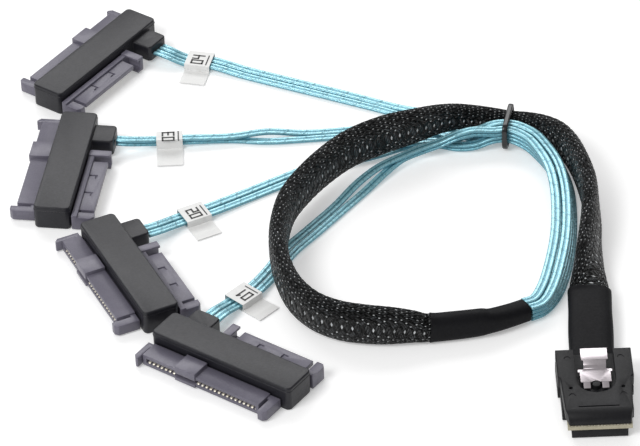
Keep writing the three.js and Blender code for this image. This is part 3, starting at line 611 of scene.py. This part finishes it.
papers, prints = [], []
for drive in DRIVES:
    i = drive["span"]
    here, there = drive["route"][i], (drive["route"] + [(*boot_exit(drive)[0], 0)])[i + 1]
    stacked = here[3] > 45
    run = Vector((there[0] - here[0], there[1] - here[1], 0)).normalized()
    left = Vector((0, 0, 1)).cross(run)
    middle = (Vector(here[:3]) + Vector(there[:3])) / 2
    half = (2.5 if stacked else 5.3) / 2 + 0.3
    rise = (2.05 if stacked else 0.9) / 2 + 0.3
    name = "flag_label_" + drive["name"]
    paper = start_block(name, (-3.5, -half - 0.2, -rise - 0.2), (3.5, half + 0.2, rise + 0.2))
    pick_faces(paper, lambda c, n: abs(n.x) > 0.5)
    bpy.ops.mesh.delete(type="FACE")
    bpy.ops.object.mode_set(mode="OBJECT")
    solid = paper.modifiers.new("paper", "SOLIDIFY")
    solid.thickness = 0.16
    solid.offset = 1.0
    bpy.ops.object.modifier_apply(modifier=solid.name)
    flag = start_block(name + "_flag", (-3.5, half + 0.2, -rise - 0.34), (3.5, 9.2, -rise - 0.12))
    bpy.ops.mesh.subdivide(number_cuts=5)
    bpy.ops.mesh.select_all(action="DESELECT")
    pick_faces(flag, lambda c, n: c.y > 7.0)
    bpy.ops.transform.translate(value=(0, 0, 0.12))
    bpy.ops.object.mode_set(mode="OBJECT")
    frame_here = Matrix.Translation((middle - BENCH) * MM) @ Matrix((
        (run.x, left.x, 0, 0), (run.y, left.y, 0, 0), (0, 0, 1, 0), (0, 0, 0, 1))) @ TO_MM
    joined = bmesh.new()
    joined.from_mesh(paper.data)
    joined.from_mesh(flag.data)
    sheet = bpy.data.meshes.new(name)
    joined.to_mesh(sheet)
    joined.free()
    bpy.data.objects.remove(paper)
    bpy.data.objects.remove(flag)
    papers.append(place(put(sheet, name, frame_here), "label_" + drive["name"], slot="label_white"))
    ink = bmesh.new()
    for glyph, origin in (("0", 2.3), (drive["name"], 0.1)):
        for x0, y0, x1, y1 in STROKES[glyph]:
            start = (y0 * 1.5 - 1.2, origin - x0 * 1.4)
            end = (y1 * 1.5 - 1.2, origin - x1 * 1.4)
            stroke(ink, start, end, 0.44)
    stroke(ink, (-2.4, 2.6), (-2.4, -1.6), 0.3)
    bmesh.ops.recalc_face_normals(ink, faces=ink.faces)
    bmesh.ops.translate(ink, verts=ink.verts, vec=(0, 0, rise + 0.36))
    digits = bpy.data.meshes.new("flag_number")
    ink.to_mesh(digits)
    ink.free()
    number = put(digits, "flag_number_" + drive["name"], frame_here)
    prints.append(place(number, slot="tie_black"))
print("labels", len(papers))


# %% [markdown]
# ## Shader helpers
# Several finishes share the same effects, so each effect is a node group that is built once: a fine grain, a
# painted highlight on sharp edges, a weave with painted glints and a foil wrap with painted shade. The
# groups give out only values that change over the surface, and the shader stays outside.
# %% Node helpers
def new_group(name, inputs, outputs):
    tree = bpy.data.node_groups.new(name, "ShaderNodeTree")
    for label, value in inputs.items():
        socket = tree.interface.new_socket(label, in_out="INPUT", socket_type="NodeSocketFloat")
        socket.default_value = value
    for label in outputs:
        tree.interface.new_socket(label, in_out="OUTPUT", socket_type="NodeSocketFloat")
    return tree, tree.nodes.new("NodeGroupInput"), tree.nodes.new("NodeGroupOutput")


def feed(tree, socket, value):
    if isinstance(value, (int, float)):
        socket.default_value = value
    else:
        tree.links.new(value, socket)


def calc(tree, operation, a, b=0.0, c=0.0):
    node = tree.nodes.new("ShaderNodeMath")
    node.operation = operation
    for socket, value in zip(node.inputs, (a, b, c)):
        feed(tree, socket, value)
    return node.outputs[0]


def noise(tree, coords, scale, detail=3.0, rough=0.55):
    node = tree.nodes.new("ShaderNodeTexNoise")
    tree.links.new(coords, node.inputs["Vector"])
    feed(tree, node.inputs["Scale"], scale)
    node.inputs["Detail"].default_value = detail
    node.inputs["Roughness"].default_value = rough
    return node.outputs["Fac"]


def ramp(tree, value, low, high):
    node = tree.nodes.new("ShaderNodeMapRange")
    node.clamp = True
    tree.links.new(value, node.inputs["Value"])
    node.inputs["From Min"].default_value = low
    node.inputs["From Max"].default_value = high
    return node.outputs["Result"]


# %% Grain and painted edge highlight groups
grain, g_in, g_out = new_group("moulded_grain", {"Scale": 3000.0}, ("Height", "Cloud"))
spot = grain.nodes.new("ShaderNodeTexCoord").outputs["Object"]
feed(grain, g_out.inputs["Height"], noise(grain, spot, g_in.outputs["Scale"], 4.0, 0.6))
feed(grain, g_out.inputs["Cloud"], noise(grain, spot, 90.0, 4.0, 0.5))

# Sharp edges found by pointiness are painted paler in patches, as a painted highlight.
edge_highlight, w_in, w_out = new_group("painted_edge_highlight", {"Sharpness": 1.0}, ("Edge",))
bend = edge_highlight.nodes.new("ShaderNodeNewGeometry").outputs["Pointiness"]
patchy = noise(edge_highlight, edge_highlight.nodes.new("ShaderNodeTexCoord").outputs["Object"], 500.0, 3.0, 0.6)
edge = calc(edge_highlight, "MULTIPLY", ramp(edge_highlight, bend, 0.52, 0.62), ramp(edge_highlight, patchy, 0.35, 0.65))
feed(edge_highlight, w_out.inputs["Edge"], calc(edge_highlight, "MULTIPLY", edge, w_in.outputs["Sharpness"]))
print("groups", grain.name, edge_highlight.name)

# %% [markdown]
# ## The braid
# The sleeve is woven from shiny black filaments that cross on the diagonal, over and under each other, and
# small holes stay open between them. Two sets of slanting bands are counted from the UV map, a chessboard
# rule says which one lies on top, and the corners where both bands end are the holes. The crests of the
# bands are painted grey as a painted glint, brighter in some cells, and some holes are painted pale, partly
# the cables seen through them and partly a painted glint.
# %% Braid group
braid_inputs = {"Around": BANDS, "Pitch": BAND_PITCH}
braid, b_in, b_out = new_group("braid_weave", braid_inputs, ("Height", "HoleGlint", "PaintedGlint"))
lay = braid.nodes.new("ShaderNodeUVMap")
lay.uv_map = "lay"
split = braid.nodes.new("ShaderNodeSeparateXYZ")
braid.links.new(lay.outputs["UV"], split.inputs[0])
turn = calc(braid, "MULTIPLY", split.outputs["Y"], b_in.outputs["Around"])
along = calc(braid, "DIVIDE", split.outputs["X"], b_in.outputs["Pitch"])
first, second = calc(braid, "ADD", turn, along), calc(braid, "SUBTRACT", turn, along)
f_part, s_part = calc(braid, "FRACT", first), calc(braid, "FRACT", second)
f_whole, s_whole = calc(braid, "FLOOR", first), calc(braid, "FLOOR", second)


def hump(value):
    return calc(braid, "SINE", calc(braid, "MULTIPLY", value, math.pi))


def filaments(value):
    return calc(braid, "ABSOLUTE", calc(braid, "SINE", calc(braid, "MULTIPLY", value, 3 * math.pi)))


def band(across, along_band):
    ribs = calc(braid, "ADD", calc(braid, "MULTIPLY", filaments(across), 0.5), 0.5)
    return calc(braid, "MULTIPLY", ribs, hump(along_band))


first_top, second_top = band(f_part, s_part), band(s_part, f_part)
board = calc(braid, "PINGPONG", calc(braid, "ADD", f_whole, s_whole), 1.0)
swap = calc(braid, "SUBTRACT", 1.0, board)
shown_first = calc(braid, "MULTIPLY", first_top, board)
shown_second = calc(braid, "MULTIPLY", second_top, swap)
height = calc(braid, "ADD", shown_first, shown_second)
f_edge = calc(braid, "ABSOLUTE", calc(braid, "SUBTRACT", f_part, 0.5))
s_edge = calc(braid, "ABSOLUTE", calc(braid, "SUBTRACT", s_part, 0.5))
corner = calc(braid, "MULTIPLY", ramp(braid, f_edge, 0.37, 0.4), ramp(braid, s_edge, 0.37, 0.4))
cell = braid.nodes.new("ShaderNodeTexWhiteNoise")
cell.noise_dimensions = "2D"
mark = braid.nodes.new("ShaderNodeCombineXYZ")
feed(braid, mark.inputs[0], calc(braid, "ROUND", first))
feed(braid, mark.inputs[1], calc(braid, "ROUND", second))
braid.links.new(mark.outputs[0], cell.inputs["Vector"])
feed(braid, b_out.inputs["Height"], height)
# Some holes are painted pale: partly the cables seen through them, partly a painted glint.
some = ramp(braid, cell.outputs["Value"], 0.15, 0.6)
feed(braid, b_out.inputs["HoleGlint"], calc(braid, "MULTIPLY", corner, some))
glint = braid.nodes.new("ShaderNodeTexWhiteNoise")
glint.noise_dimensions = "2D"
own = braid.nodes.new("ShaderNodeCombineXYZ")
feed(braid, own.inputs[0], f_whole)
feed(braid, own.inputs[1], s_whole)
braid.links.new(own.outputs[0], glint.inputs["Vector"])
# The crests of the bands carry a painted glint, brighter in some cells than in others.
lit = calc(braid, "MULTIPLY_ADD", ramp(braid, glint.outputs["Value"], 0.45, 1.0), 0.85, 0.15)
feed(braid, b_out.inputs["PaintedGlint"], calc(braid, "MULTIPLY", calc(braid, "POWER", height, 4.0), lit))
print("braid nodes", len(braid.nodes))

# %% [markdown]
# ## The foil wrap
# Under the blue film a silver foil is wound round the wires. It shows as narrow slanting lap lines and fine
# crinkles. The ridges over the wires keep the pale blue, while the valley between them and the outer edges
# of the film are painted darker as painted shade.
# %% Foil group
foil, f_in, f_out = new_group("foil_wrap", {"Lap": 5.0}, ("Height", "ShadeAndLap", "Crinkle"))
lay = foil.nodes.new("ShaderNodeUVMap")
lay.uv_map = "lay"
split = foil.nodes.new("ShaderNodeSeparateXYZ")
foil.links.new(lay.outputs["UV"], split.inputs[0])
slant = calc(foil, "ADD", calc(foil, "DIVIDE", split.outputs["X"], f_in.outputs["Lap"]), split.outputs["Y"])
lap = ramp(foil, calc(foil, "FRACT", slant), 0.9, 0.97)
quarter = calc(foil, "COSINE", calc(foil, "MULTIPLY", split.outputs["Y"], 2 * math.pi))
# Painted shade: the valley between the two wires and the outer edges of the film are darkened.
painted_valley_shade = calc(foil, "SUBTRACT", 1.0, ramp(foil, calc(foil, "ABSOLUTE", quarter), 0.04, 0.3))
rim = ramp(foil, calc(foil, "ABSOLUTE", quarter), 0.86, 1.0)
object_spot = foil.nodes.new("ShaderNodeTexCoord").outputs["Object"]
crinkle = noise(foil, object_spot, 700.0, 5.0, 0.7)
feed(foil, f_out.inputs["Height"], calc(foil, "ADD", crinkle, calc(foil, "MULTIPLY", lap, 0.5)))
painted_edge_and_valley_shade = calc(foil, "MAXIMUM", painted_valley_shade, calc(foil, "MULTIPLY", rim, 0.8))
feed(foil, f_out.inputs["ShadeAndLap"], calc(foil, "MAXIMUM", painted_edge_and_valley_shade, calc(foil, "MULTIPLY", lap, 0.35)))
feed(foil, f_out.inputs["Crinkle"], crinkle)
print("foil nodes", len(foil.nodes))


# %% [markdown]
# ## Materials
# Each finish is one Principled shader. Its colour is mixed between two close
# tones by a group's mask, so no surface is a single flat colour, and a Bump node
# turns the grain into relief at its real scale.
# %% Material helper
def finish(name, light, dark, rough, metallic=0.0, coat=0.0, specular=0.5):
    """A material with its shader and a two-tone mix waiting for a mask."""
    material = bpy.data.materials.new(name)
    material.use_nodes = True
    tree = material.node_tree
    shader = tree.nodes["Principled BSDF"]
    shader.inputs["Metallic"].default_value = metallic
    shader.inputs["Coat Weight"].default_value = coat
    shader.inputs["Coat Roughness"].default_value = 0.12
    shader.inputs["Specular IOR Level"].default_value = specular
    mix = tree.nodes.new("ShaderNodeMix")
    mix.data_type = "RGBA"
    mix.inputs["A"].default_value = (*light, 1)
    mix.inputs["B"].default_value = (*dark, 1)
    tree.links.new(mix.outputs["Result"], shader.inputs["Base Color"])
    span = tree.nodes.new("ShaderNodeMapRange")
    span.inputs["To Min"].default_value = rough[0]
    span.inputs["To Max"].default_value = rough[1]
    tree.links.new(span.outputs["Result"], shader.inputs["Roughness"])
    return material, tree, shader, mix, span


def use(tree, group, **values):
    node = tree.nodes.new("ShaderNodeGroup")
    node.node_tree = group
    for label, value in values.items():
        node.inputs[label].default_value = value
    return node


def relief(tree, shader, height, strength, distance):
    bump = tree.nodes.new("ShaderNodeBump")
    bump.inputs["Strength"].default_value = strength
    bump.inputs["Distance"].default_value = distance
    feed(tree, bump.inputs["Height"], height)
    tree.links.new(bump.outputs["Normal"], shader.inputs["Normal"])


def moulded(name, light, dark, rough, scale, depth, **more):
    """Grained plastic or metal with clouds of tone and a painted highlight on sharp edges."""
    material, tree, shader, mix, span = finish(name, light, dark, rough, **more)
    surface = use(tree, grain, Scale=scale)
    edge_highlight_node = use(tree, edge_highlight)
    cloud = calc(tree, "MULTIPLY", surface.outputs["Cloud"], 0.5)
    speckle = calc(tree, "MULTIPLY_ADD", surface.outputs["Height"], 1.2, cloud)
    # Sharp edges are painted paler here: a painted highlight.
    edge_highlight_mask = calc(tree, "MULTIPLY", edge_highlight_node.outputs["Edge"], 0.8)
    mask = calc(tree, "SUBTRACT", calc(tree, "SUBTRACT", speckle, 0.35), edge_highlight_mask)
    feed(tree, mix.inputs["Factor"], calc(tree, "MAXIMUM", mask, 0.0))
    feed(tree, span.inputs["Value"], surface.outputs["Height"])
    relief(tree, shader, surface.outputs["Height"], 0.35, depth)
    return material


# %% The finishes
moulded_black = moulded(
    "moulded_black", light=(0.021, 0.021, 0.027), dark=(0.007, 0.007, 0.01),
    rough=(0.3, 0.44), scale=1700.0, depth=0.00009, specular=0.36)
insulator_grey = moulded(
    "insulator_grey", light=(0.18, 0.17, 0.215), dark=(0.11, 0.104, 0.14),
    rough=(0.3, 0.42), scale=3400.0, depth=0.00002, specular=0.45)
host_black = moulded(
    "host_black", light=(0.014, 0.014, 0.016), dark=(0.005, 0.005, 0.006),
    rough=(0.4, 0.55), scale=2400.0, depth=0.00005, specular=0.22)
shrink_black = moulded(
    "heatshrink_black", light=(0.009, 0.009, 0.011), dark=(0.003, 0.003, 0.004),
    rough=(0.5, 0.68), scale=1500.0, depth=0.00006, specular=0.14)
tie_black = moulded(
    "tie_black", light=(0.02, 0.02, 0.022), dark=(0.008, 0.008, 0.009),
    rough=(0.16, 0.26), scale=1800.0, depth=0.00001)
latch_steel = moulded(
    "latch_steel", light=(0.76, 0.7, 0.73), dark=(0.58, 0.53, 0.56),
    rough=(0.24, 0.36), scale=900.0, depth=0.000004, metallic=1.0)
contact_gold = moulded(
    "contact_gold", light=(0.95, 0.9, 0.78), dark=(0.84, 0.76, 0.58),
    rough=(0.28, 0.4), scale=3000.0, depth=0.000004, metallic=0.6)
card_board = moulded(
    "card_board", light=(0.5, 0.46, 0.34), dark=(0.36, 0.33, 0.24),
    rough=(0.3, 0.45), scale=2500.0, depth=0.00001)
paper_white = moulded(
    "paper_white", light=(0.9, 0.9, 0.89), dark=(0.8, 0.8, 0.79),
    rough=(0.55, 0.7), scale=2800.0, depth=0.00001)
ink_black = moulded(
    "ink_black", light=(0.02, 0.02, 0.02), dark=(0.01, 0.01, 0.01),
    rough=(0.4, 0.55), scale=2800.0, depth=0.00001)

# The second tone is the grey of the painted glint on the crests of the weave.
braid_black, tree, shader, mix, span = finish(
    "braid_black", light=(0.001, 0.001, 0.0012), dark=(0.1, 0.11, 0.12),
    rough=(0.5, 0.2), specular=0.4)
weave = use(tree, braid, Around=BANDS, Pitch=BAND_PITCH)
feed(tree, mix.inputs["Factor"], weave.outputs["PaintedGlint"])
feed(tree, span.inputs["Value"], weave.outputs["Height"])
# The pale tone in the holes is partly the cables seen through them and partly a painted glint.
pale = tree.nodes.new("ShaderNodeMix")
pale.data_type = "RGBA"
pale.inputs["B"].default_value = (0.9, 0.93, 0.95, 1)
tree.links.new(mix.outputs["Result"], pale.inputs["A"])
feed(tree, pale.inputs["Factor"], weave.outputs["HoleGlint"])
tree.links.new(pale.outputs["Result"], shader.inputs["Base Color"])
relief(tree, shader, weave.outputs["Height"], 1.0, 0.0009)

# The dark tone is painted shade in the valley and along the edges, and also the real lap lines of the foil.
film_blue, tree, shader, mix, span = finish(
    "film_blue", light=(0.4, 0.77, 0.87), dark=(0.02, 0.2, 0.29),
    rough=(0.16, 0.4), metallic=0.45, coat=0.6)
wrap = use(tree, foil, Lap=5.0)
# lines carries the painted shade of the valley and edges together with the foil's lap lines.
lines = calc(tree, "MULTIPLY", wrap.outputs["ShadeAndLap"], 0.8)
feed(tree, mix.inputs["Factor"], calc(tree, "MULTIPLY_ADD", wrap.outputs["Crinkle"], 0.25, lines))
feed(tree, span.inputs["Value"], wrap.outputs["Crinkle"])
relief(tree, shader, wrap.outputs["Height"], 0.8, 0.0002)
print("materials", len(bpy.data.materials))


# %% Put each finish on its pieces
def dress(pieces, material):
    for piece in pieces:
        piece.data.materials.clear()
        piece.data.materials.append(material)
        for face in piece.data.polygons:
            face.material_index = 0


dress(drive_pieces["drive_block"] + rims, moulded_black)
dress(drive_pieces["drive_receptacle"] + drive_pieces["drive_power_plug"], insulator_grey)
dress([upper, lower] + half_rings, host_black)
dress([latch], latch_steel)
dress([ring], tie_black)
dress([sleeve], braid_black)
dress([host_shrink, split_shrink], shrink_black)
dress([cable for _, _, cable, _ in flat_cables], film_blue)
dress(papers, paper_white)
dress(prints, ink_black)
dress(metal_pieces + [card_pads], contact_gold)
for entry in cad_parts["host_paddle_card"].material_slots:
    entry.material = card_board

# %% [markdown]
# ## Floor and light
# The photo has a white background and soft light from behind and above, which
# puts a sheen on faces that look up. The world gives even light, one large lamp
# stands behind the cable, and one smaller lamp fills from the front left.
# %% Floor, world and lamps
bpy.ops.object.select_all(action="DESELECT")
bpy.ops.mesh.primitive_plane_add(size=6.0, location=(0, 0, -0.0001))
floor = bpy.context.object
floor.name = "floor"
paper_floor = bpy.data.materials.new("floor_white")
paper_floor.use_nodes = True
tree = paper_floor.node_tree
shader = tree.nodes["Principled BSDF"]
shader.inputs["Base Color"].default_value = (0.9, 0.9, 0.9, 1)
shader.inputs["Roughness"].default_value = 0.9
shader.inputs["Specular IOR Level"].default_value = 0.0
seen = tree.nodes.new("ShaderNodeLightPath")
glow = calc(tree, "MAXIMUM", seen.outputs["Is Camera Ray"], seen.outputs["Is Glossy Ray"])
shader.inputs["Emission Color"].default_value = (1, 1, 1, 1)
feed(tree, shader.inputs["Emission Strength"], calc(tree, "MULTIPLY", glow, 0.3))
floor.data.materials.append(paper_floor)

world = bpy.data.worlds.new("studio")
world.use_nodes = True
world.node_tree.nodes["Background"].inputs["Color"].default_value = (1, 1, 1, 1)
world.node_tree.nodes["Background"].inputs["Strength"].default_value = 0.36
scene.world = world


def lamp(name, spot, size, power):
    light = bpy.data.lights.new(name, "AREA")
    light.shape = "RECTANGLE"
    light.size, light.size_y = size
    light.energy = power
    holder = bpy.data.objects.new(name, light)
    holder.location = spot
    holder.rotation_euler = (-Vector(spot)).to_track_quat("-Z", "Y").to_euler()
    scene.collection.objects.link(holder)


lamp("back_softbox", (-0.1, 0.9, 0.8), (1.2, 0.6), 7.0)
lamp("front_softbox", (-0.7, -0.6, 1.0), (0.6, 0.6), 9.0)
print("stage ready")
